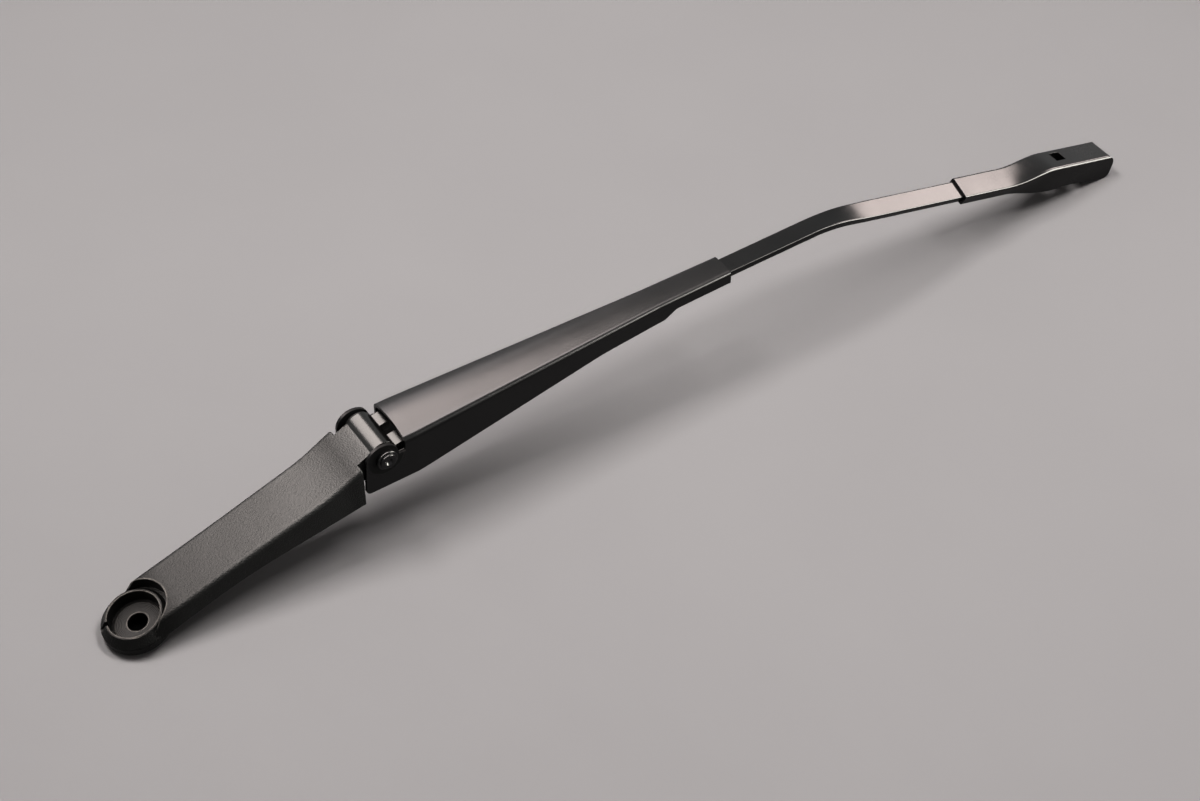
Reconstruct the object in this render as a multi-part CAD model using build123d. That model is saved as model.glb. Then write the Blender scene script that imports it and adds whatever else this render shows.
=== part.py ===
from build123d import *
import os
from math import acos, asin, atan2, cos, hypot, radians, sin, tan

# Windscreen wiper arm: cast head, hinge, pressed channel, flat rod and blade holder.
# X runs from the spindle to the blade end, Z is up from the table the arm lies on,
# and the origin is the middle of the spindle bore.

# Spindle boss
seat_tilt = 11.0
bore_radius = 4.1
seat_thickness = 3.0
seat_countersink = 1.1
cup_radius = 10.55
cup_depth = 5.6
pad_radius = 9.2
pad_step = 0.35
rim_width = 1.0
rim_slope = 54.0
rim_round = 1.6
boss_radius = 14.3
foot_chamfer = 1.6
cap_slot_width = 1.9
cap_slot_depth = 3.4
cap_slot_angle = 164.0
relief_radius = 12.1
relief_shift = 2.4
relief_drop = 2.0

# Cast head
head_slope = 16.8
head_rise = 9.96
head_heel_x = 5.2
head_knee_x = 80.8
head_knee_round = 60.0
head_end_x = 95.9
head_foot_half = 14.0
head_lean = 12.5
head_half_width = 13.5
head_edge_round = 2.2
head_corner_round = 0.6
head_wall = 2.2
head_skin = 2.4
skirt_heel_z = 1.6
skirt_slope = 16.9
skirt_bend_x = 42.5
skirt_round = 220.0
skirt_end_z = 22.8
rib_count = 3
rib_thickness = 1.6
rib_setback = 3.0

# Hinge
hinge_x = 106.7
hinge_z = 41.7
barrel_radius = 6.0
barrel_step = 0.7
crease_round = 1.2
tongue_half_width = 9.6
barrel_skin = 1.5
link_slot_width = 5.6
nose_length = 10.6
nose_top = 0.6
nose_rise = 1.8
nose_depth = 2.8
nose_round = 0.8
bush_radius = 3.9
bush_flange_radius = 5.4
bush_flange = 1.1
rivet_radius = 2.75
rivet_head_radius = 4.6
rivet_head_height = 2.6
rivet_flange = 1.8
rivet_dome_radius = 3.5
rivet_round = 0.5
rivet_dimple_radius = 1.7
rivet_dimple_depth = 0.9
link_pin_radius = 1.8
link_pin_reach = 7.0
link_pin_angle = 255.0
link_pin_length = 17.0
link_pin_boss = 3.4
running_clearance = 0.04
seat_clearance = 0.02

# Pressed channel
sheet = 1.3
channel_front_x = 115.5
channel_taper_x = 121.0
crimp_start_x = 240.0
crimp_end_x = 276.8
channel_half_width = 12.3
neck_half_width = 6.7
crimp_half_width = 6.2
front_shoulder_z = 46.6
front_crown = 2.4
crimp_shoulder_z = 47.7
neck_crown = 0.6
crimp_crown = 0.35
shoulder_round = 3.2
crimp_round = 2.0
ear_bottom_z = 25.9
ear_radius = 7.3
ear_back = 1.5
ear_drop = 0.1
ear_corner_x = 96.9
ear_corner_round = 2.2
ear_notch_z = 40.7
flange_turn_x = 122.0
flange_end_x = 211.0
flange_end_z = 37.3
flange_step_x = 243.0
flange_step_z = 38.5
flange_round = 60.0
step_round = 3.5
step_run = 6.0
lip_gap = 2.4

# Flat rod
rod_width = 9.2
rod_thickness = 3.2
rod_edge = 0.6
rod_mid_z = 44.85
rod_fit = 0.06
tail_x = 218.5
tail_mid_z = 41.3
crank_start_x = 229.5
crank_end_x = 239.0
crank_round = 5.0
tail_hole_inset = 5.0
tail_hole_radius = 1.5
bend_start_x = 321.5
bend_radius = 87.0
bend_angle = 15.1
twist_angle = 17.0
twist_run = 15.0
tip_rod_length = 92.0

# Blade holder, measured along the tip from the end of the bend
sleeve_start = 64.9
sleeve_end = 91.5
holder_start = 119.5
holder_end = 158.8
holder_sheet = 1.1
holder_half_width = 7.0
holder_top = 6.9
holder_depth = 12.23
holder_edge_round = 1.5
sleeve_edge_round = 0.9
holder_nose_round = 4.6
holder_toe_round = 3.4
skirt_notch_start = 124.5
skirt_notch_end = 141.0
skirt_notch_height = 0.9
window_start = 124.4
window_length = 6.1
window_width = 5.8
window_shift = 1.2

# Spring and link
link_thickness = 4.4
link_length = 25.0
link_eye_radius = 3.4
link_arm_width = 3.6
link_bow = 6.6
spring_hole_radius = 1.5
spring_wire = 2.0
spring_radius = 5.4
spring_gap = 5.5
spring_turns = 8
spring_pitch = 6.3
hook_hole_play = 0.3


def side_face(*points):
    return make_face(Polyline(*points, close=True))


def across(face, low, high):
    return extrude(Plane.XZ.offset(-low) * face, amount=low - high)


def cross_pin(x, z, radius, low, high):
    return across(Pos(x, z) * Circle(radius), low, high)


os.makedirs("parts", exist_ok=True)

seat = Plane((0, 0, 0), x_dir=(cos(radians(seat_tilt)), 0, sin(radians(seat_tilt))),
             z_dir=(-sin(radians(seat_tilt)), 0, cos(radians(seat_tilt))))
standing = (Align.CENTER, Align.CENTER, Align.MIN)
floor_top = seat_thickness / 2
rim_top = floor_top + cup_depth
rim_outer = cup_radius + rim_width
rim_fall = (boss_radius - rim_outer) * tan(radians(rim_slope))

# The top of the head climbs at one slope to the knee, then runs to the foot of the hinge barrel.
slope = radians(head_slope)
knee_z = head_rise + head_knee_x * tan(slope)
knee_to_hinge = hypot(hinge_x - head_knee_x, hinge_z - knee_z)
tongue_radius = barrel_radius - barrel_step
climb = atan2(hinge_z - knee_z, hinge_x - head_knee_x) + asin(tongue_radius / knee_to_hinge)


def climb_z(x):
    return knee_z + (x - head_knee_x) * tan(climb)


# The lower edge of the walls climbs from the boss, then bends towards the hinge.
skirt_bend_z = skirt_heel_z + skirt_bend_x * tan(radians(skirt_slope))


def skirt_z(x):
    if x < skirt_bend_x:
        return skirt_heel_z + x * tan(radians(skirt_slope))
    return skirt_bend_z + (x - skirt_bend_x) * (skirt_end_z - skirt_bend_z) / (head_end_x - skirt_bend_x)


def head_outline(skin, start_x, end_x, drop):
    knee_drop = skin / cos((climb + slope) / 2)
    start_z = head_rise + start_x * tan(slope) - skin / cos(slope)
    outline = side_face((start_x, start_z), (head_knee_x, knee_z - knee_drop),
                        (end_x, climb_z(end_x) - skin / cos(climb)), (end_x, skirt_z(end_x) - drop),
                        (skirt_bend_x, skirt_bend_z - drop), (start_x, skirt_z(start_x) - drop))
    for turn_x, turn_z, turn_round in ((head_knee_x, knee_z - knee_drop, head_knee_round),
                                       (skirt_bend_x, skirt_bend_z - drop, skirt_round)):
        turn = outline.vertices().sort_by_distance((turn_x, turn_z, 0))[0]
        outline = fillet(turn, turn_round)
    return outline


# The walls lean in by the boss and stand upright at the hinge.
def head_section(x, wall):
    share = x / head_end_x
    foot_half = head_foot_half + (head_half_width - head_foot_half) * share - wall
    lean = tan(radians(head_lean)) * (1 - share)
    foot_z = skirt_heel_z + (skirt_end_z - skirt_heel_z) * share
    rows = [(side * (foot_half - lean * rise), foot_z + rise)
            for side, rise in ((-1, -head_rise), (1, -head_rise), (1, 3 * head_rise), (-1, 3 * head_rise))]
    return Plane((x, 0, 0), x_dir=(0, 1, 0), z_dir=(1, 0, 0)) * side_face(*rows)


def head_block(outline, wall, start_x, end_x):
    walls = loft([head_section(start_x, wall), head_section(end_x, wall)], ruled=True)
    return walls & across(outline, -2 * boss_radius, 2 * boss_radius)


head_body = head_block(head_outline(0, 0, head_end_x, 0), 0, 0, head_end_x)
top_edges = [edge for edge in head_body.edges()
             if abs(edge.center().Y) > head_half_width / 2
             and edge.center().Z > skirt_z(edge.center().X) + head_rise / 2
             and abs((edge @ 1 - edge @ 0).X) > head_edge_round / 2]
head_body = fillet(top_edges, head_edge_round)
end_edges = head_body.edges().filter_by(Axis.Z).sort_by(Axis.X)[-2:]
head_body = fillet(end_edges, head_corner_round)
cavity_x = boss_radius + head_wall
cavity_end = head_end_x - head_wall
cavity = head_block(head_outline(head_skin, cavity_x, cavity_end, head_wall), head_wall, cavity_x, cavity_end)
rib_pitch = (head_end_x - cavity_x) / (rib_count + 1)
rib_zone = cavity & across(head_outline(0, 0, head_end_x, -rib_setback), -head_half_width, head_half_width)
for rib in range(rib_count):
    rib_x = cavity_x + (rib + 1) * rib_pitch
    cavity -= rib_zone & Pos(rib_x, 0, hinge_z) * Box(rib_thickness, 2 * head_half_width, 4 * hinge_z)
head_body -= cavity
relief_height = head_rise * 2
heel_low = skirt_z(0) + head_wall / 2
heel_face = side_face((0, heel_low), (head_heel_x, head_rise + head_heel_x * tan(slope)),
                      (head_heel_x, head_rise * 2), (-head_wall, head_rise * 2), (-head_wall, heel_low))
head_body -= across(heel_face, -2 * head_half_width, 2 * head_half_width)
head_body -= seat * Pos(relief_shift, 0, rim_top - relief_drop) * Cylinder(
    relief_radius, relief_height, align=standing)

boss_face = side_face((0, -floor_top), (boss_radius - foot_chamfer, -floor_top),
                      (boss_radius, -floor_top + foot_chamfer), (boss_radius, rim_top - rim_fall),
                      (rim_outer, rim_top), (cup_radius, rim_top), (cup_radius, floor_top - pad_step),
                      (pad_radius, floor_top - pad_step), (pad_radius, floor_top), (0, floor_top))
boss_shoulder = boss_face.vertices().sort_by_distance((boss_radius, rim_top - rim_fall, 0))[0]
boss_face = fillet(boss_shoulder, rim_round)
boss = seat * revolve(Plane.XZ * boss_face, Axis.Z)
cup_space = seat * Pos(0, 0, floor_top) * Cylinder(cup_radius, relief_height, align=standing)
bore = seat * Cylinder(bore_radius, seat_thickness * 2)
countersink = seat * Pos(0, 0, -floor_top) * Cone(
    bore_radius + seat_countersink, bore_radius, seat_countersink, align=standing)
cap_slot = seat * Rot(Z=cap_slot_angle) * Pos(boss_radius, 0, rim_top - cap_slot_depth / 2) * Box(
    2 * (boss_radius - pad_radius), cap_slot_width, cap_slot_depth)

# The tongue is the hull of the hinge, the link pin's boss and the head's end wall,
# and the barrel stands a little proud of it.
pin_x = hinge_x + link_pin_reach * cos(radians(link_pin_angle))
pin_z = hinge_z + link_pin_reach * sin(radians(link_pin_angle))
root_low = pin_z - link_pin_boss
hinge_circle = Pos(hinge_x, hinge_z) * Circle(tongue_radius)
pin_circle = Pos(pin_x, pin_z) * Circle(link_pin_boss)
root = side_face((cavity_end, root_low), (head_end_x, root_low), (head_end_x, climb_z(head_end_x)),
                 (cavity_end, climb_z(cavity_end)))
tongue_face = make_hull(hinge_circle.edges() + pin_circle.edges() + root.edges())
tongue_face += Pos(hinge_x, hinge_z) * Circle(barrel_radius)
crease_turn = climb + acos(tongue_radius / barrel_radius)
crease_point = (hinge_x - barrel_radius * sin(crease_turn), hinge_z + barrel_radius * cos(crease_turn), 0)
crease = tongue_face.vertices().sort_by_distance(crease_point)[0]
tongue_face = fillet(crease, crease_round)
nose_low = hinge_z + nose_top - nose_depth
nose_x = hinge_x + nose_length
nose = side_face((hinge_x, nose_low), (nose_x, nose_low), (nose_x, hinge_z + nose_top + nose_rise),
                 (hinge_x, hinge_z + nose_top))
nose = fillet(nose.vertices().sort_by(Axis.X)[-2:], nose_round)
tongue = across(tongue_face + nose, -tongue_half_width, tongue_half_width)
slot_back = pin_x - link_pin_boss
slot_ahead = hinge_x + nose_length * 2
slot_low = pin_z - link_length
slot_roof = hinge_z + barrel_radius * 0.42
slot_face = side_face((slot_back, slot_low), (slot_back, pin_z + link_eye_radius),
                      (hinge_x - barrel_radius / 2, slot_roof), (slot_ahead, slot_roof),
                      (slot_ahead, slot_low))
slot_face += Pos(hinge_x, hinge_z) * Circle(barrel_radius - barrel_skin)
link_slot = across(slot_face, -link_slot_width / 2, link_slot_width / 2)
bush_hole = cross_pin(hinge_x, hinge_z, bush_radius + seat_clearance, -head_half_width, head_half_width)
pin_hole = cross_pin(pin_x, pin_z, link_pin_radius + seat_clearance,
                     -link_pin_length / 2 - seat_clearance, link_pin_length / 2 + seat_clearance)
arm_head = head_body + boss + tongue
arm_head -= cup_space + bore + countersink + cap_slot
arm_head -= link_slot
arm_head -= bush_hole
arm_head -= pin_hole
export_step(arm_head, "parts/arm_head.step")

link_pin = cross_pin(pin_x, pin_z, link_pin_radius, -link_pin_length / 2, link_pin_length / 2)
export_step(link_pin, "parts/link_pin.step")


def hinge_bush(side):
    inner = side * link_slot_width / 2
    face = side * tongue_half_width
    outer = side * (tongue_half_width + bush_flange)
    bush = cross_pin(hinge_x, hinge_z, bush_radius, min(inner, face), max(inner, face))
    bush += cross_pin(hinge_x, hinge_z, bush_flange_radius, min(face, outer), max(face, outer))
    bore_clear = rivet_radius + running_clearance
    return bush - cross_pin(hinge_x, hinge_z, bore_clear, -head_half_width, head_half_width)


export_step(hinge_bush(-1), "parts/hinge_bush_near.step")
export_step(hinge_bush(1), "parts/hinge_bush_far.step")

rivet_half = channel_half_width + rivet_head_height
flange_top = channel_half_width + rivet_flange
rivet_face = side_face((0, 0), (rivet_radius, 0), (rivet_radius, channel_half_width),
                       (rivet_head_radius, channel_half_width), (rivet_head_radius, flange_top),
                       (rivet_dome_radius, flange_top), (rivet_dome_radius, rivet_half),
                       (rivet_dimple_radius, rivet_half),
                       (rivet_dimple_radius / 2, rivet_half - rivet_dimple_depth),
                       (0, rivet_half - rivet_dimple_depth))
for ring_radius, ring_top in ((rivet_head_radius, flange_top), (rivet_dome_radius, rivet_half)):
    ring_corner = rivet_face.vertices().sort_by_distance((ring_radius, ring_top, 0))[0]
    rivet_face = fillet(ring_corner, rivet_round)
rivet_side = Rot(X=90) * revolve(Plane.XZ * rivet_face, Axis.Z)
hinge_rivet = Pos(hinge_x, 0, hinge_z) * (rivet_side + mirror(rivet_side, Plane.XZ))
export_step(hinge_rivet, "parts/hinge_rivet.step")


def channel_section(x, half, shoulder, crown, corner):
    low = ear_bottom_z - channel_half_width
    face = make_face(Line((-half, low), (-half, shoulder)).edges()
                     + ThreePointArc((-half, shoulder), (0, shoulder + crown), (half, shoulder)).edges()
                     + Polyline((half, shoulder), (half, low), (-half, low)).edges())
    corners = face.vertices().sort_by(Axis.Y)[-2:]
    return Plane((x, 0, 0), x_dir=(0, 1, 0), z_dir=(1, 0, 0)) * fillet(corners, corner)


def channel_loft(inset, overrun):
    corner = shoulder_round - inset
    crimp_corner = crimp_round - inset
    return loft([
        channel_section(channel_front_x - overrun, channel_half_width - inset,
                        front_shoulder_z - inset, front_crown, corner),
        channel_section(channel_taper_x, channel_half_width - inset,
                        front_shoulder_z - inset, front_crown, corner),
        channel_section(crimp_start_x, neck_half_width - inset,
                        crimp_shoulder_z - inset, neck_crown, crimp_corner),
        channel_section(crimp_end_x + overrun, crimp_half_width - inset,
                        crimp_shoulder_z - inset, crimp_crown, crimp_corner)], ruled=True)


lip_top = rod_mid_z - rod_thickness / 2 - rod_fit
lip_low = lip_top - sheet
sky = hinge_z + channel_half_width * 2
step_top_x = flange_step_x + step_run
flange_face = side_face((channel_front_x, ear_bottom_z), (flange_turn_x, ear_bottom_z),
                        (flange_end_x, flange_end_z), (flange_step_x, flange_step_z),
                        (step_top_x, lip_low), (crimp_end_x, lip_low), (crimp_end_x, sky),
                        (channel_front_x, sky))
for turn_point, turn_radius in (((flange_turn_x, ear_bottom_z, 0), flange_round),
                                ((flange_end_x, flange_end_z, 0), flange_round),
                                ((flange_step_x, flange_step_z, 0), step_round),
                                ((step_top_x, lip_low, 0), step_round)):
    turn_corner = flange_face.vertices().sort_by_distance(turn_point)[0]
    flange_face = fillet(turn_corner, turn_radius)
shell = channel_loft(0, 0) - channel_loft(sheet, 1)
shell &= across(flange_face, -2 * channel_half_width, 2 * channel_half_width)

ear_x = hinge_x - ear_back
ear_z = hinge_z - ear_drop
ear_skirt = side_face((ear_x - ear_radius, ear_z), (ear_corner_x, ear_bottom_z),
                      (channel_taper_x, ear_bottom_z), (channel_taper_x, ear_notch_z),
                      (ear_x, ear_notch_z))
ear_corner = ear_skirt.vertices().sort_by_distance((ear_corner_x, ear_bottom_z, 0))[0]
ear_face = fillet(ear_corner, ear_corner_round) + Pos(ear_x, ear_z) * Circle(ear_radius)
ear_face -= Pos(hinge_x, hinge_z) * Circle(rivet_radius + seat_clearance)
ear_inside = channel_half_width - sheet
ears = across(ear_face, -channel_half_width, -ear_inside) + across(ear_face, ear_inside, channel_half_width)
lip_start = step_top_x + step_round
lip_width = crimp_half_width - sheet / 2 - lip_gap / 2
lip = Pos((lip_start + crimp_end_x) / 2, lip_gap / 2 + lip_width / 2, lip_low + sheet / 2) * Box(
    crimp_end_x - lip_start, lip_width, sheet)
arm_channel = shell + ears + lip + mirror(lip, Plane.XZ)
export_step(arm_channel, "parts/arm_channel.step")

bend = radians(bend_angle)
bend_run = bend * bend_radius
rod_outline = RectangleRounded(rod_width, rod_thickness, rod_edge)


def rod_plane(run, roll_share):
    turn = min(run / bend_radius, bend)
    past = max(run - bend_run, 0)
    x = bend_start_x + bend_radius * sin(turn) + past * cos(turn)
    z = rod_mid_z - bend_radius * (1 - cos(turn)) - past * sin(turn)
    roll = radians(twist_angle) * roll_share
    side = (sin(roll) * sin(turn), cos(roll), sin(roll) * cos(turn))
    return Plane((x, 0, z), x_dir=side, z_dir=(cos(turn), 0, -sin(turn)))


def tip_plane(along, roll_share):
    return rod_plane(bend_run + along, roll_share)


tail_path = Plane.XZ * FilletPolyline((tail_x, tail_mid_z), (crank_start_x, tail_mid_z),
                                      (crank_end_x, rod_mid_z), (bend_start_x, rod_mid_z),
                                      radius=crank_round)
tail_plane = Plane((tail_x, 0, tail_mid_z), x_dir=(0, 1, 0), z_dir=(1, 0, 0))
arm_rod = sweep(tail_plane * rod_outline, path=tail_path)
twist_total = bend_run + twist_run
twist_steps = 6
twist_sections = []
for step in range(twist_steps + 1):
    share = step / twist_steps
    eased = share * share * (3 - 2 * share)
    twist_sections.append(rod_plane(share * twist_total, eased) * rod_outline)
arm_rod += loft(twist_sections)
arm_rod += extrude(tip_plane(twist_run, 1) * rod_outline, amount=tip_rod_length - twist_run)
hole_x = tail_x + tail_hole_inset
arm_rod -= Pos(hole_x, 0, tail_mid_z) * Cylinder(tail_hole_radius, rod_thickness * 2)
export_step(arm_rod, "parts/arm_rod.step")

holder_low = holder_top - holder_depth
holder_steps = 6
sleeve_wall = rod_fit + holder_sheet


sleeve_top = rod_thickness / 2 + sleeve_wall


# The section eases from the rolled sleeve to the level, open holder.
def holder_section(share, inset):
    eased = share * share * (3 - 2 * share)
    half = (rod_width / 2 + sleeve_wall) * (1 - eased) + holder_half_width * eased - inset
    top = sleeve_top * (1 - eased) + holder_top * eased - inset
    low = holder_low - holder_edge_round - inset * holder_depth
    low = (inset - sleeve_top) * (1 - eased) + low * eased
    corner = sleeve_edge_round * (1 - eased) + holder_edge_round * eased - inset / 2
    along = sleeve_end + (holder_start - sleeve_end) * share
    outline = Pos(0, (top + low) / 2) * RectangleRounded(2 * half, top - low, corner)
    return tip_plane(along, 1 - eased) * outline


def holder_loft(inset, overrun):
    sections = [holder_section(step / holder_steps, inset) for step in range(holder_steps + 1)]
    run_back = sleeve_end - sleeve_start + overrun
    body = extrude(sections[0], amount=-run_back) + loft(sections)
    return body + extrude(sections[-1], amount=holder_end + overrun - holder_start)


tip_side = Plane(tip_plane(0, 0).origin, x_dir=(cos(bend), 0, -sin(bend)), z_dir=(0, -1, 0))
keep_face = side_face((sleeve_start, holder_low), (holder_end, holder_low), (holder_end, holder_top),
                      (holder_start, holder_top), (holder_start, holder_depth),
                      (sleeve_start, holder_depth))
nose_corner = keep_face.vertices().sort_by_distance((holder_end, holder_top, 0))[0]
keep_face = fillet(nose_corner, holder_nose_round)
toe_corner = keep_face.vertices().sort_by_distance((holder_end, holder_low, 0))[0]
keep_face = fillet(toe_corner, holder_toe_round)
keep = extrude(tip_side * keep_face, amount=holder_half_width * 2, both=True)
window = tip_plane(window_start, 0) * Pos(window_shift, holder_top, window_length / 2) * Box(
    window_width, holder_sheet * 4, window_length)
notch_face = side_face((skirt_notch_start, holder_low - holder_sheet),
                       (skirt_notch_end, holder_low - holder_sheet),
                       (skirt_notch_end - skirt_notch_height, holder_low + skirt_notch_height),
                       (skirt_notch_start + skirt_notch_height, holder_low + skirt_notch_height))
skirt_notch = extrude(tip_side * notch_face, amount=holder_half_width * 2, both=True)
blade_holder = (holder_loft(0, 0) & keep) - holder_loft(holder_sheet, 1) - window - skirt_notch
export_step(blade_holder, "parts/blade_holder.step")

# The link and the spring lie on the line from the link pin to the hole in the rod's tail.
pull = atan2(tail_mid_z - pin_z, hole_x - pin_x)
pull_dir = (cos(pull), 0, sin(pull))
link_side = Plane((pin_x, 0, pin_z), x_dir=pull_dir, z_dir=(0, -1, 0))
bow_radius = ((link_length / 2) ** 2 + link_bow ** 2) / (2 * link_bow)
bow = Pos(link_length / 2, bow_radius - link_bow) * (
    Circle(bow_radius + link_arm_width / 2) - Circle(bow_radius - link_arm_width / 2))
bow &= Pos(link_length / 2, -bow_radius) * Rectangle(4 * bow_radius, 2 * bow_radius)
link_face = bow + Circle(link_eye_radius) + Pos(link_length, 0) * Circle(link_eye_radius)
link_face -= Circle(link_pin_radius + running_clearance)
link_face -= Pos(link_length, 0) * Circle(spring_hole_radius)
spring_link = extrude(link_side * link_face, amount=link_thickness / 2, both=True)
export_step(spring_link, "parts/spring_link.step")

spring_line = Plane((pin_x + link_length * cos(pull), 0, pin_z + link_length * sin(pull)),
                    x_dir=pull_dir, z_dir=(0, -1, 0))
spring_reach = hypot(hole_x - pin_x, tail_mid_z - pin_z) - link_length
coil_end = spring_gap + spring_turns * spring_pitch
coil_points = [(spring_gap, spring_radius - 1.6 * spring_wire)]
for turn in range(spring_turns):
    coil_points.append((spring_gap + turn * spring_pitch, spring_radius - spring_wire / 2))
    coil_points.append((spring_gap + (turn + 0.5) * spring_pitch, spring_radius))
coil_points.append((coil_end, spring_radius - spring_wire / 2))
coil_points.append((coil_end, spring_radius - 1.6 * spring_wire))
coil = revolve(spring_line * side_face(*coil_points), Axis(spring_line.origin, spring_line.x_dir))
near_leg = link_thickness / 2 + spring_wire
far_leg = rod_thickness / 2 + spring_wire / 2 + hook_hole_play
coil_hold = spring_radius - spring_wire


def wire(points):
    path = spring_line * Polyline(*points)
    start = Plane(path @ 0, z_dir=path % 0)
    return sweep(start * Circle(spring_wire / 2), path=path, transition=Transition.RIGHT)


near_hook = wire([(spring_gap + spring_wire, 0, coil_hold), (0, 0, coil_hold + hook_hole_play),
                  (0, 0, -near_leg), (spring_gap - spring_wire, 0, -near_leg)])
far_hook = wire([(coil_end - spring_wire, -coil_hold, 0), (spring_reach, -far_leg, 0),
                 (spring_reach, far_leg, 0), (spring_reach - spring_wire * 2, far_leg, 0)])
tension_spring = coil + near_hook + far_hook
export_step(tension_spring, "parts/tension_spring.step")
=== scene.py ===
from math import cos, pi, radians, sin

import bpy
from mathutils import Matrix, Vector


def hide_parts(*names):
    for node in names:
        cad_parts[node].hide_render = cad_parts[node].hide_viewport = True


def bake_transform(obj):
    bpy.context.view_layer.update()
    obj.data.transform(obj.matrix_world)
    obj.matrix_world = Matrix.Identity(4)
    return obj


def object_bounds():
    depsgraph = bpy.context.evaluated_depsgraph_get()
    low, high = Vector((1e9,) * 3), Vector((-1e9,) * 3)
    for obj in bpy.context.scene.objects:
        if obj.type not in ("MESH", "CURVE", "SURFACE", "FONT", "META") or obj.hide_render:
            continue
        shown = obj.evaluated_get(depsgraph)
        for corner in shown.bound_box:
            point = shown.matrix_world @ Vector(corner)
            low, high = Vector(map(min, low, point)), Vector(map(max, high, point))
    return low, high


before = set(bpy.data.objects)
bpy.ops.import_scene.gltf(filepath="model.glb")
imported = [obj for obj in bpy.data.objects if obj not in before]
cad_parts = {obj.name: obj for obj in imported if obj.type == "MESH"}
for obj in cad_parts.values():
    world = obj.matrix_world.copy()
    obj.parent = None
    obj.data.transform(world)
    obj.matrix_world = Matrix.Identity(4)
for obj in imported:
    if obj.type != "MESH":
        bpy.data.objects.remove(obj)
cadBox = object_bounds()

scene = bpy.context.scene
scene.view_settings.view_transform = "Standard"
scene.view_settings.gamma = 0.75
scene.view_settings.exposure = 0.16
mm = 0.001
print("stage: frame")


def addNode(tree, kind, inputs=None, **attributes):
    node = tree.nodes.new(kind)
    for key, value in attributes.items():
        setattr(node, key, value)
    for key, value in (inputs or {}).items():
        if isinstance(value, bpy.types.NodeSocket):
            tree.links.new(value, node.inputs[key])
        else:
            node.inputs[key].default_value = value
    return node


def newMaterial(name):
    material = bpy.data.materials.new(name)
    material.use_nodes = True
    tree = material.node_tree
    shader = tree.nodes["Principled BSDF"]
    place = addNode(tree, "ShaderNodeTexCoord").outputs["Object"]
    return material, tree, shader, place


def noise(tree, place, scale, detail=3.0):
    node = addNode(tree, "ShaderNodeTexNoise", {
        "Vector": place, "Scale": scale, "Detail": detail, "Roughness": 0.55})
    return node.outputs["Fac"]


def remap(tree, value, low, high, toLow, toHigh):
    node = addNode(tree, "ShaderNodeMapRange", {
        "Value": value, "From Min": low, "From Max": high, "To Min": toLow, "To Max": toHigh})
    return node.outputs["Result"]


def calculate(tree, operation, first, second=0.0):
    return addNode(tree, "ShaderNodeMath", {0: first, 1: second}, operation=operation).outputs["Value"]


def product(tree, first, *others):
    for other in others:
        first = calculate(tree, "MULTIPLY", first, other)
    return first


def awayFrom(tree, value, middle):
    return calculate(tree, "ABSOLUTE", calculate(tree, "SUBTRACT", value, middle))


def vectorMath(tree, operation, first, second):
    return addNode(tree, "ShaderNodeVectorMath", {0: first, 1: second}, operation=operation)


def lengthOf(tree, place, kept):
    flat = vectorMath(tree, "MULTIPLY", place, kept).outputs["Vector"]
    return addNode(tree, "ShaderNodeVectorMath", {0: flat}, operation="LENGTH").outputs["Value"]


def alongAxis(tree, place, axis):
    return addNode(tree, "ShaderNodeSeparateXYZ", {0: place}).outputs[axis]


def blendValue(tree, factor, first, second):
    return addNode(tree, "ShaderNodeMix", {"Factor": factor, "A": first, "B": second}).outputs["Result"]


def mixColour(tree, factor, first, second):
    node = addNode(tree, "ShaderNodeMix", {"Factor": factor}, data_type="RGBA")
    for key, value in ((6, first), (7, second)):
        if isinstance(value, bpy.types.NodeSocket):
            tree.links.new(value, node.inputs[key])
        else:
            node.inputs[key].default_value = (*value, 1.0)
    return node.outputs[2]


def bevelNormal(tree, width):
    return addNode(tree, "ShaderNodeBevel", {"Radius": width * mm}, samples=6).outputs["Normal"]


def bumpNormal(tree, height, strength, step, normal=None):
    inputs = {"Height": height, "Strength": strength, "Distance": step * mm}
    if normal is not None:
        inputs["Normal"] = normal
    return addNode(tree, "ShaderNodeBump", inputs).outputs["Normal"]


def edgeMask(tree, bevel):
    facing = addNode(tree, "ShaderNodeNewGeometry").outputs["Normal"]
    agreement = vectorMath(tree, "DOT_PRODUCT", bevel, facing).outputs["Value"]
    return remap(tree, agreement, 0.99, 0.82, 0.0, 1.0)


def point(place):
    return Vector(place) * mm


def aimAt(thing, place, target):
    thing.location = place
    thing.rotation_euler = (place - target).to_track_quat("Z", "Y").to_euler()


viewPoint = {
    "lens": 70.538,
    "sensor": 36.0,
    "target": (217.21, 3.14, -3.13),
    "azimuth": -33.70,
    "elevation": 46.18,
    "distance": 1000.0,
}


def makeCamera():
    data = bpy.data.cameras.new("camera")
    data.lens = viewPoint["lens"]
    data.sensor_width = viewPoint["sensor"]
    data.sensor_fit = "HORIZONTAL"
    data.clip_start = 0.01
    camera = bpy.data.objects.new("camera", data)
    scene.collection.objects.link(camera)
    around, above = radians(viewPoint["azimuth"]), radians(viewPoint["elevation"])
    back = Vector((sin(around) * cos(above), -cos(around) * cos(above), sin(above)))
    target = point(viewPoint["target"])
    aimAt(camera, target + back * viewPoint["distance"] * mm, target)
    scene.camera = camera


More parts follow.
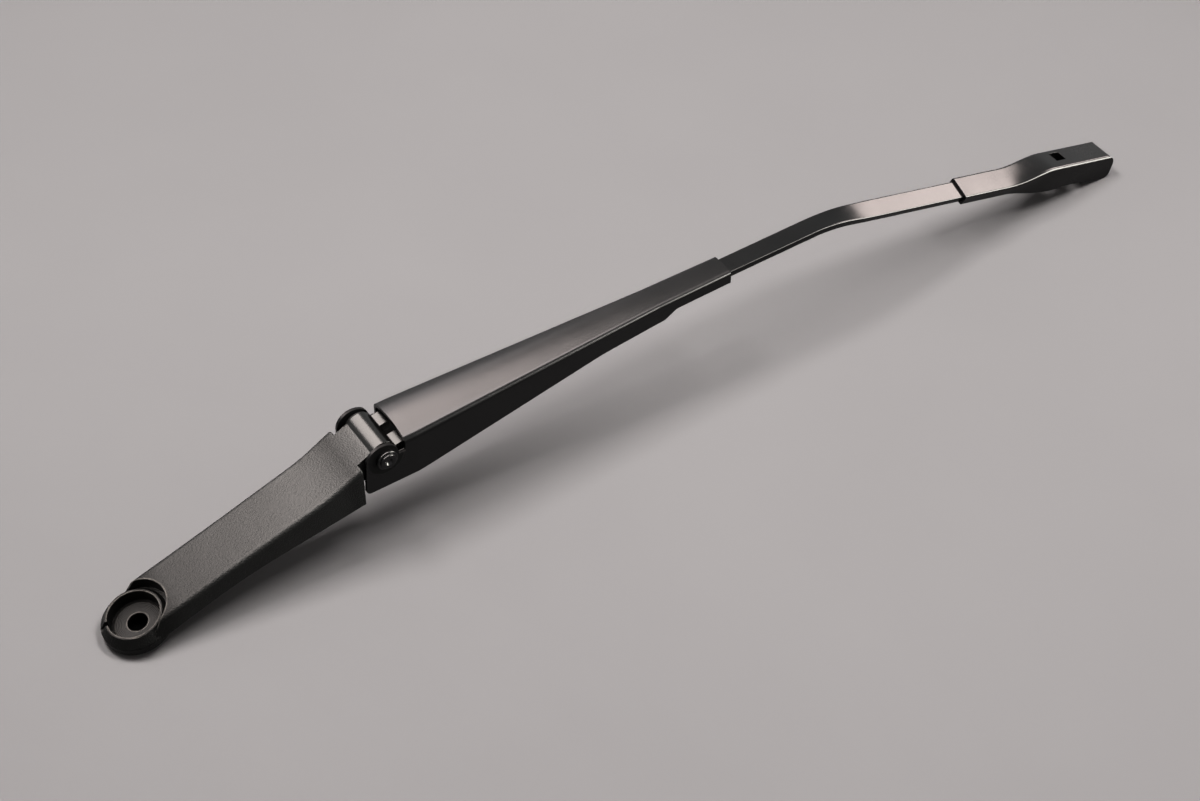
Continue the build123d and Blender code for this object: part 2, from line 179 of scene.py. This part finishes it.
# Places are in millimetres and panel sizes in metres. A panel without an aim faces straight down.
# The two lit panels cast the soft shadows, and the mirrored ones only show in the paint.
leftLight = {
    "name": "left", "lit": True, "mirrored": False, "radiance": 23.9, "tint": (1.0, 1.0, 1.0),
    "place": (-80, 340, 1200), "size": (0.28, 0.49),
}
rightLight = {
    "name": "right", "lit": True, "mirrored": False, "radiance": 23.4, "tint": (1.0, 1.0, 1.0),
    "place": (590, -205, 1200), "size": (0.24, 0.62),
}
ceilingLight = {
    "name": "ceiling", "lit": False, "mirrored": True, "radiance": 16.0, "tint": (1.0, 0.90, 0.87),
    "place": (-155, 530, 930), "size": (1.50, 0.94),
}
rearLight = {
    "name": "rear", "lit": False, "mirrored": True, "radiance": 6.0, "tint": (1.0, 0.92, 0.92),
    "place": (-60, 1400, 930), "size": (1.70, 0.78),
}
nearLight = {
    "name": "near", "lit": False, "mirrored": True, "radiance": 17.0, "tint": (1.0, 0.92, 0.90),
    "place": (-110, -170, 930), "size": (1.58, 0.46),
}
frontLight = {
    "name": "front", "lit": False, "mirrored": True, "radiance": 27.0, "tint": (1.0, 0.97, 0.91),
    "place": (1120, -707, 330), "aim": (280, 0, 40), "size": (0.90, 0.62),
}
endLight = {
    "name": "end", "lit": False, "mirrored": True, "radiance": 16.5, "tint": (1.0, 0.885, 0.845),
    "place": (1330, 90, 640), "aim": (390, 0, 35), "size": (0.46, 0.46),
}


def makeLight(look):
    data = bpy.data.lights.new(look["name"], "AREA")
    data.shape = "RECTANGLE"
    data.size, data.size_y = look["size"]
    data.energy = look["radiance"] * pi * data.size * data.size_y
    data.color = look["tint"]
    light = bpy.data.objects.new(look["name"], data)
    scene.collection.objects.link(light)
    light.visible_diffuse = look["lit"]
    light.visible_glossy = look["mirrored"]
    below = (*look["place"][:2], 0)
    aimAt(light, point(look["place"]), point(look.get("aim", below)))


room = {"mirroredGrey": 1.10, "fillGrey": 0.285}


def makeWorld():
    world = bpy.data.worlds.new("studio")
    world.use_nodes = True
    tree = world.node_tree
    background = tree.nodes["Background"]
    background.inputs["Color"].default_value = (1.0, 1.0, 1.0, 1.0)
    scattered = addNode(tree, "ShaderNodeLightPath").outputs["Is Diffuse Ray"]
    strength = remap(tree, scattered, 0.0, 1.0, room["mirroredGrey"], room["fillGrey"])
    tree.links.new(strength, background.inputs["Strength"])
    scene.world = world


table = {
    "name": "table", "sink": 0.003, "reach": 4000.0,
    "colour": (0.345, 0.328, 0.326), "paler": 1.03, "roughness": 0.75, "cloud": 6.0,
    "speck": 900.0, "speckDepth": 0.03, "speckStep": 0.3,
}
# A black card under the boss is painted shade that keeps the spindle bore dark, as the photograph shows it.
card = {
    "name": "card", "middle": (1.0, 2.0, 0.0), "radius": 9.0, "sides": 32, "lift": 0.02,
    "colour": (0.003, 0.003, 0.003), "roughness": (0.85, 1.0), "fibre": 1500.0,
}


def tableMaterial():
    material, tree, shader, place = newMaterial("tableGrey")
    tone = remap(tree, noise(tree, place, table["cloud"]), 0.3, 0.7, 0.0, 1.0)
    paler = tuple(table["paler"] * channel for channel in table["colour"])
    speck = noise(tree, place, table["speck"])
    tree.links.new(mixColour(tree, tone, table["colour"], paler), shader.inputs["Base Color"])
    tree.links.new(bumpNormal(tree, speck, table["speckDepth"], table["speckStep"]), shader.inputs["Normal"])
    shader.inputs["Roughness"].default_value = table["roughness"]
    shader.inputs["Specular IOR Level"].default_value = 0.0
    return material


# Flat black with no reflection: painted shade for the spindle bore.
def boreShadeMaterial():
    material, tree, shader, place = newMaterial("cardBlack")
    fibre = remap(tree, noise(tree, place, card["fibre"]), 0.3, 0.7, *card["roughness"])
    tree.links.new(fibre, shader.inputs["Roughness"])
    shader.inputs["Base Color"].default_value = (*card["colour"], 1.0)
    shader.inputs["Specular IOR Level"].default_value = 0.0
    return material


def layFlat(name, corners, material):
    mesh = bpy.data.meshes.new(name)
    mesh.from_pydata(corners, [], [tuple(range(len(corners)))])
    mesh.materials.append(material)
    piece = bpy.data.objects.new(name, mesh)
    scene.collection.objects.link(piece)


def makeTable():
    top = cadBox[0][2] + table["sink"] * mm
    reach = table["reach"] * mm
    corners = [(x * reach, y * reach, top) for x, y in ((-1, -1), (1, -1), (1, 1), (-1, 1))]
    layFlat(table["name"], corners, tableMaterial())
    # The black disc under the boss is painted shade for the spindle bore.
    middle = point(card["middle"])
    radius = card["radius"] * mm
    height = top + card["lift"] * mm
    angles = [2 * pi * side / card["sides"] for side in range(card["sides"])]
    rim = [(middle.x + radius * cos(angle), middle.y + radius * sin(angle), height) for angle in angles]
    layFlat(card["name"], rim, boreShadeMaterial())


# Places and widths of the paints are in millimetres, and scales are per metre.
castPaint = {
    "name": "castBlack", "base": (0.0046, 0.0044, 0.0042), "wearAndHighlight": (0.100, 0.092, 0.084),
    "roughness": (0.40, 0.52), "grain": 1500.0, "grainDepth": 0.55, "peel": 240.0, "peelDepth": 0.05,
    "edge": 0.35, "wearAndHighlightStrength": 0.90, "specular": 0.35, "mirrorTint": (0.97, 1.0, 0.985),
    "paintedShadeFrom": 10.0, "paintedShadeTo": 110.0, "paintedShadeTint": 0.45,
    "bossFrom": 6.0, "bossTo": 15.0, "bossShadeTint": 0.45,
    "bendMiddle": 92.0, "bendReach": 6.0, "bendShadeTint": 0.66,
    "hingeFrom": 99.0, "hingeTo": 103.5, "hingeRoughness": 0.25,
    "seatTilt": 11.0, "cupRadius": 10.8, "cupHeight": 6.8, "wallShadeTint": 0.08,
    "padMiddle": 6.78, "padHalf": 2.57, "padTint": 0.36,
    "turning": 0.62, "turningDepth": 0.16, "patches": 420.0,
    # Lighter rings round the cup: partly wear, partly painted highlight, broken up in patches.
    "wearAndHighlightRings": (
        {"shift": 0.0, "radius": 4.45, "half": 0.32, "low": 1.2, "top": 2.4},  # round the spindle bore
        {"shift": 0.0, "radius": 9.20, "half": 0.28, "low": 1.0, "top": 2.4},  # round the cup's floor
        {"shift": 0.0, "radius": 10.75, "half": 0.40, "low": 6.6, "top": 9.0},  # on the rim
        {"shift": 2.4, "radius": 12.50, "half": 0.39, "low": 7.0, "top": 30.0},  # along the relief
    ),
}


def ringMask(tree, ring, seat, height, patchy):
    centred = vectorMath(tree, "SUBTRACT", seat, (ring["shift"] * mm, 0.0, 0.0)).outputs["Vector"]
    gap = awayFrom(tree, lengthOf(tree, centred, (1.0, 1.0, 0.0)), ring["radius"] * mm)
    line = remap(tree, gap, 0.4 * ring["half"] * mm, ring["half"] * mm, 1.0, 0.0)
    above = calculate(tree, "GREATER_THAN", height, ring["low"] * mm)
    below = calculate(tree, "LESS_THAN", height, ring["top"] * mm)
    return product(tree, line, above, below, patchy)


# Painted shade: the paint reflects less by the boss and in the bend before the hinge, and least on the cup's
# wall. The cup's floor reflects less as well.
def headShadeTint(tree, look, along, radius, inCup):
    dull = remap(tree, along, look["paintedShadeFrom"] * mm, look["paintedShadeTo"] * mm, look["paintedShadeTint"], 1.0)
    boss = remap(tree, along, look["bossFrom"] * mm, look["bossTo"] * mm, look["bossShadeTint"], 1.0)
    fromBend = awayFrom(tree, along, look["bendMiddle"] * mm)
    bend = remap(tree, fromBend, 0.0, look["bendReach"] * mm, look["bendShadeTint"], 1.0)
    fromPad = awayFrom(tree, radius, look["padMiddle"] * mm)
    onPad = calculate(tree, "LESS_THAN", fromPad, look["padHalf"] * mm)
    cup = remap(tree, onPad, 0.0, 1.0, look["wallShadeTint"], look["padTint"])
    level = blendValue(tree, inCup, product(tree, dull, bend, boss), cup)
    return mixColour(tree, level, (0.0, 0.0, 0.0), look["mirrorTint"])


# The nut cup has turning marks on its floor and thin lighter lines round its edges, partly wear and partly
# painted highlight, and the hinge barrel is smooth.
def finishHead(tree, look, place, surface):
    along = alongAxis(tree, place, "X")
    turn = (0.0, radians(look["seatTilt"]), 0.0)
    seat = addNode(tree, "ShaderNodeMapping", {"Vector": place, "Rotation": turn}).outputs["Vector"]
    radius = lengthOf(tree, seat, (1.0, 1.0, 0.0))
    height = alongAxis(tree, seat, "Z")
    patchy = remap(tree, noise(tree, place, look["patches"]), 0.32, 0.60, 0.25, 1.0)
    for ring in look["wearAndHighlightRings"]:
        bright = ringMask(tree, ring, seat, height, patchy)
        surface["colour"] = mixColour(tree, bright, surface["colour"], look["wearAndHighlight"])
    within = calculate(tree, "LESS_THAN", radius, look["cupRadius"] * mm)
    inCup = product(tree, within, calculate(tree, "LESS_THAN", height, look["cupHeight"] * mm))
    turned = calculate(tree, "SINE", product(tree, radius, 2 * pi / (look["turning"] * mm)))
    marks = remap(tree, turned, -1.0, 1.0, 0.5 - look["turningDepth"], 0.5 + look["turningDepth"])
    hinge = remap(tree, along, look["hingeFrom"] * mm, look["hingeTo"] * mm, 0.0, 1.0)
    surface["grain"] = blendValue(tree, hinge, blendValue(tree, inCup, surface["grain"], marks), 0.5)
    surface["roughness"] = blendValue(tree, hinge, surface["roughness"], look["hingeRoughness"])
    # The specular tint dims the head's reflection as painted shade.
    surface["tint"] = headShadeTint(tree, look, along, radius, inCup)


glossPaint = {
    "name": "glossBlack", "base": (0.0030, 0.0030, 0.0030), "wearAndHighlight": (0.026, 0.026, 0.026),
    "roughness": (0.23, 0.27), "grain": 3200.0, "grainDepth": 0.010, "peel": 420.0, "peelDepth": 0.012,
    "edge": 0.22, "wearAndHighlightStrength": 0.35, "specular": 0.30,
    "hinge": (106.7, 0.0, 41.7), "earReach": 8.6, "earFade": 1.0, "earRoughness": 0.60, "earTint": 0.30,
}


# Within the ears' reach round the hinge the paint is rougher and its reflection is dimmed.
def finishChannel(tree, look, place, surface):
    fromHinge = vectorMath(tree, "SUBTRACT", place, point(look["hinge"])).outputs["Vector"]
    radius = lengthOf(tree, fromHinge, (1.0, 0.0, 1.0))
    ear = remap(tree, radius, look["earReach"] * mm, (look["earReach"] - look["earFade"]) * mm, 0.0, 1.0)
    surface["roughness"] = blendValue(tree, ear, surface["roughness"], look["earRoughness"])
    surface["tint"] = remap(tree, ear, 0.0, 1.0, 1.0, look["earTint"])


rodPaint = {
    "name": "rodBlack", "base": (0.0030, 0.0030, 0.0030), "wearAndHighlight": (0.026, 0.026, 0.026),
    "roughness": (0.17, 0.23), "grain": 3200.0, "grainDepth": 0.006, "peel": 420.0, "peelDepth": 0.012,
    "edge": 0.25, "wearAndHighlightStrength": 0.35, "specular": 0.30,
}
holderPaint = {
    "name": "holderBlack", "base": (0.0032, 0.0032, 0.0032), "wearAndHighlight": (0.030, 0.029, 0.029),
    "roughness": (0.20, 0.28), "grain": 3000.0, "grainDepth": 0.008, "peel": 460.0, "peelDepth": 0.014,
    "edge": 0.25, "wearAndHighlightStrength": 0.45, "specular": 0.30,
}
rivetPaint = {
    "name": "rivetBlack", "base": (0.0060, 0.0060, 0.0060), "wearAndHighlight": (0.050, 0.049, 0.047),
    "roughness": (0.16, 0.24), "grain": 2200.0, "grainDepth": 0.020, "peel": 500.0, "peelDepth": 0.040,
    "edge": 0.22, "wearAndHighlightStrength": 0.60, "specular": 0.38,
}
bushPlastic = {
    "name": "bushPlastic", "base": (0.012, 0.012, 0.012), "wearAndHighlight": (0.035, 0.035, 0.034),
    "roughness": (0.38, 0.50), "grain": 2600.0, "grainDepth": 0.020, "peel": 300.0, "peelDepth": 0.040,
    "edge": 0.15, "wearAndHighlightStrength": 0.30, "specular": 0.45,
}
allPaints = {"cloud": 38.0, "paler": 1.45, "edgeBreakup": 900.0, "peelStep": 0.4, "grainStep": 0.5}


def paintMaterial(look, finish=None):
    material, tree, shader, place = newMaterial(look["name"])
    bevel = bevelNormal(tree, look["edge"])
    grain = noise(tree, place, look["grain"], 2.0)
    peel = noise(tree, place, look["peel"], 2.0)
    cloud = noise(tree, place, allPaints["cloud"], 4.0)
    # Sharp edges take a lighter colour in patches: partly wear, partly painted highlight.
    edgeBreakup = remap(tree, noise(tree, place, allPaints["edgeBreakup"]), 0.40, 0.66, 0.0, 1.0)
    wearAndHighlight = product(tree, edgeMask(tree, bevel), edgeBreakup, look["wearAndHighlightStrength"])
    paler = tuple(allPaints["paler"] * channel for channel in look["base"])
    colour = mixColour(tree, remap(tree, cloud, 0.35, 0.68, 0.0, 1.0), look["base"], paler)
    mottle = calculate(tree, "ADD", cloud, grain)
    surface = {
        "colour": mixColour(tree, wearAndHighlight, colour, look["wearAndHighlight"]),
        "roughness": remap(tree, mottle, 0.75, 1.25, *look["roughness"]),
        "grain": grain,
    }
    if finish:
        finish(tree, look, place, surface)
        tree.links.new(surface["tint"], shader.inputs["Specular Tint"])
    peeled = bumpNormal(tree, peel, look["peelDepth"], allPaints["peelStep"], bevel)
    grained = bumpNormal(tree, surface["grain"], look["grainDepth"], allPaints["grainStep"], peeled)
    tree.links.new(surface["colour"], shader.inputs["Base Color"])
    tree.links.new(surface["roughness"], shader.inputs["Roughness"])
    tree.links.new(grained, shader.inputs["Normal"])
    shader.inputs["Specular IOR Level"].default_value = look["specular"]
    return material


pinSteel = {
    "name": "pinSteel", "bright": (0.62, 0.60, 0.57), "dull": (0.38, 0.36, 0.34), "edge": 0.15,
    "roughness": (0.20, 0.36), "streak": (300.0, 2600.0, 300.0), "depth": 0.02, "step": 0.3, "cloud": 120.0,
}
linkSteel = {
    "name": "linkSteel", "bright": (0.56, 0.55, 0.53), "dull": (0.32, 0.31, 0.29), "edge": 0.25,
    "roughness": (0.28, 0.44), "streak": (900.0, 140.0, 900.0), "depth": 0.03, "step": 0.3, "cloud": 180.0,
}
springSteel = {
    "name": "springSteel", "bright": (0.30, 0.29, 0.28), "dull": (0.13, 0.125, 0.12), "edge": 0.10,
    "roughness": (0.26, 0.42), "streak": (700.0, 700.0, 700.0), "depth": 0.02, "step": 0.3, "cloud": 220.0,
}


def metalMaterial(look):
    material, tree, shader, place = newMaterial(look["name"])
    bevel = bevelNormal(tree, look["edge"])
    stretched = vectorMath(tree, "MULTIPLY", place, look["streak"]).outputs["Vector"]
    streak = noise(tree, stretched, 1.0)
    cloud = noise(tree, place, look["cloud"], 4.0)
    shade = remap(tree, calculate(tree, "ADD", cloud, streak), 0.75, 1.25, 0.0, 1.0)
    smooth, rough = look["roughness"]
    tree.links.new(mixColour(tree, shade, look["dull"], look["bright"]), shader.inputs["Base Color"])
    tree.links.new(remap(tree, shade, 0.0, 1.0, rough, smooth), shader.inputs["Roughness"])
    tree.links.new(bumpNormal(tree, streak, look["depth"], look["step"], bevel), shader.inputs["Normal"])
    shader.inputs["Metallic"].default_value = 1.0
    return material


def dressNode(name, material):
    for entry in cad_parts[name].material_slots:
        entry.material = material


# The hooks' points are in the spring's own axes: along it from the link's eye, up, and to the near side.
spring = {
    "name": "coil_spring", "body": "arm", "far": "spring", "node": "tension_spring", "slot": "spring_steel",
    "linkEye": (129.852, 0.0, 36.278), "tailHole": (223.5, 0.0, 41.3),
    "wire": 2.0, "sides": 14, "radius": 4.4, "start": 6.5, "end": 54.9, "turns": 23.75,
    "stepsPerTurn": 28, "stepsPerHookPoint": 5,
    "linkHook": ((3.6, 0, -4.1), (1.9, 0, -4.2), (0.5, 0, -3.75), (0, 0, -2.6), (0, 0, 0), (0, 0, 2.2),
                 (0.5, 0, 3.3), (1.9, 0, 3.75), (4.4, -0.1, 4.0), (5.9, -0.55, 4.3)),
    "tailRun": ((55.5, -4.35, 0.9), (56.8, -4.05, 1.0), (60.0, -3.5, 0.4), (68.0, -3.15, 0),
                (80.0, -2.95, 0)),
    "tailHook": ((-2.2, -2.9, 0), (-0.6, -2.45, 0), (0, -1.3, 0), (0, 0, 0), (0, 1.3, 0), (-0.6, 2.45, 0),
                 (-2.2, 2.9, 0), (-4.0, 2.9, 0)),  # measured back from the tail's hole
}


def smoothRun(points, steps):
    run = []
    for index in range(len(points) - 1):
        before, first = points[max(index - 1, 0)], points[index]
        second, after = points[index + 1], points[min(index + 2, len(points) - 1)]
        slope = second - before
        curve = 2 * before - 5 * first + 4 * second - after
        swing = 3 * first - before - 3 * second + after
        for step in range(steps):
            t = step / steps
            run.append(0.5 * (2 * first + slope * t + curve * t * t + swing * t ** 3))
    run.append(points[-1])
    return run


def springRoute():
    eye, hole = Vector(spring["linkEye"]), Vector(spring["tailHole"])
    reach = (hole - eye).length
    along = (hole - eye).normalized()
    raised = Vector((-along.z, 0.0, along.x))
    near = Vector((0.0, -1.0, 0.0))
    count = int(spring["turns"] * spring["stepsPerTurn"])
    coil = []
    for index in range(count + 1):
        share = index / count
        angle = 2 * pi * spring["turns"] * share
        run = spring["start"] + (spring["end"] - spring["start"]) * share
        coil.append(Vector((run, spring["radius"] * sin(angle), spring["radius"] * cos(angle))))
    linkEnd = [Vector(p) for p in spring["linkHook"]]
    tailEnd = [Vector(p) for p in spring["tailRun"]]
    tailEnd += [Vector((reach + back, up, side)) for back, up, side in spring["tailHook"]]
    first = smoothRun(linkEnd + coil[:1], spring["stepsPerHookPoint"])[:-1]
    last = smoothRun(coil[-1:] + tailEnd, spring["stepsPerHookPoint"])[1:]
    return [(eye + along * p.x + raised * p.y + near * p.z) * mm for p in first + coil + last]


def wireNodes(material):
    tree = bpy.data.node_groups.new("wireAlongRoute", "GeometryNodeTree")
    tree.interface.new_socket("Route", in_out="INPUT", socket_type="NodeSocketGeometry")
    radius = tree.interface.new_socket("Wire radius", in_out="INPUT", socket_type="NodeSocketFloat")
    sides = tree.interface.new_socket("Sides", in_out="INPUT", socket_type="NodeSocketInt")
    tree.interface.new_socket("Wire", in_out="OUTPUT", socket_type="NodeSocketGeometry")
    given = addNode(tree, "NodeGroupInput").outputs
    profile = addNode(tree, "GeometryNodeCurvePrimitiveCircle", {
        "Resolution": given["Sides"], "Radius": given["Wire radius"]}).outputs["Curve"]
    tube = addNode(tree, "GeometryNodeCurveToMesh", {
        "Curve": given["Route"], "Profile Curve": profile, "Fill Caps": True}).outputs["Mesh"]
    smooth = addNode(tree, "GeometryNodeSetShadeSmooth", {0: tube}).outputs[0]
    real = addNode(tree, "GeometryNodeRealizeInstances", {"Geometry": smooth}).outputs["Geometry"]
    finished = addNode(tree, "GeometryNodeSetMaterial", {"Geometry": real, "Material": material})
    addNode(tree, "NodeGroupOutput", {0: finished.outputs["Geometry"]})
    return tree, {radius.identifier: spring["wire"] / 2 * mm, sides.identifier: spring["sides"]}


def makeSpring():
    material = metalMaterial(springSteel)
    route = springRoute()
    curve = bpy.data.curves.new("springRoute", "CURVE")
    curve.dimensions = "3D"
    spline = curve.splines.new("POLY")
    spline.points.add(len(route) - 1)
    for knot, place in zip(spline.points, route):
        knot.co = (*place, 1.0)
    carrier = bpy.data.objects.new("springRoute", curve)
    scene.collection.objects.link(carrier)
    wire = carrier.modifiers.new("wire", "NODES")
    wire.node_group, wireSizes = wireNodes(material)
    for identifier, size in wireSizes.items():
        wire[identifier] = size
    bpy.context.view_layer.update()
    mesh = bpy.data.meshes.new_from_object(carrier.evaluated_get(bpy.context.evaluated_depsgraph_get()))
    bpy.data.objects.remove(carrier)
    mesh.materials.clear()
    mesh.materials.append(material)
    piece = bpy.data.objects.new(spring["name"], mesh)
    scene.collection.objects.link(piece)
    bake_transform(piece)
    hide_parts(spring["node"])


makeCamera()
for light in (leftLight, rightLight, ceilingLight, rearLight, nearLight, frontLight, endLight):
    makeLight(light)
makeWorld()
makeTable()
print("stage: camera, light and table")

dressNode("arm_head", paintMaterial(castPaint, finishHead))
dressNode("arm_channel", paintMaterial(glossPaint, finishChannel))
dressNode("arm_rod", paintMaterial(rodPaint))
dressNode("blade_holder", paintMaterial(holderPaint))
dressNode("hinge_rivet", paintMaterial(rivetPaint))
bushFinish = paintMaterial(bushPlastic)
for bush in ("hinge_bush_near", "hinge_bush_far"):
    dressNode(bush, bushFinish)
dressNode("link_pin", metalMaterial(pinSteel))
dressNode("spring_link", metalMaterial(linkSteel))
print("stage: finishes")

makeSpring()
print("stage: spring")
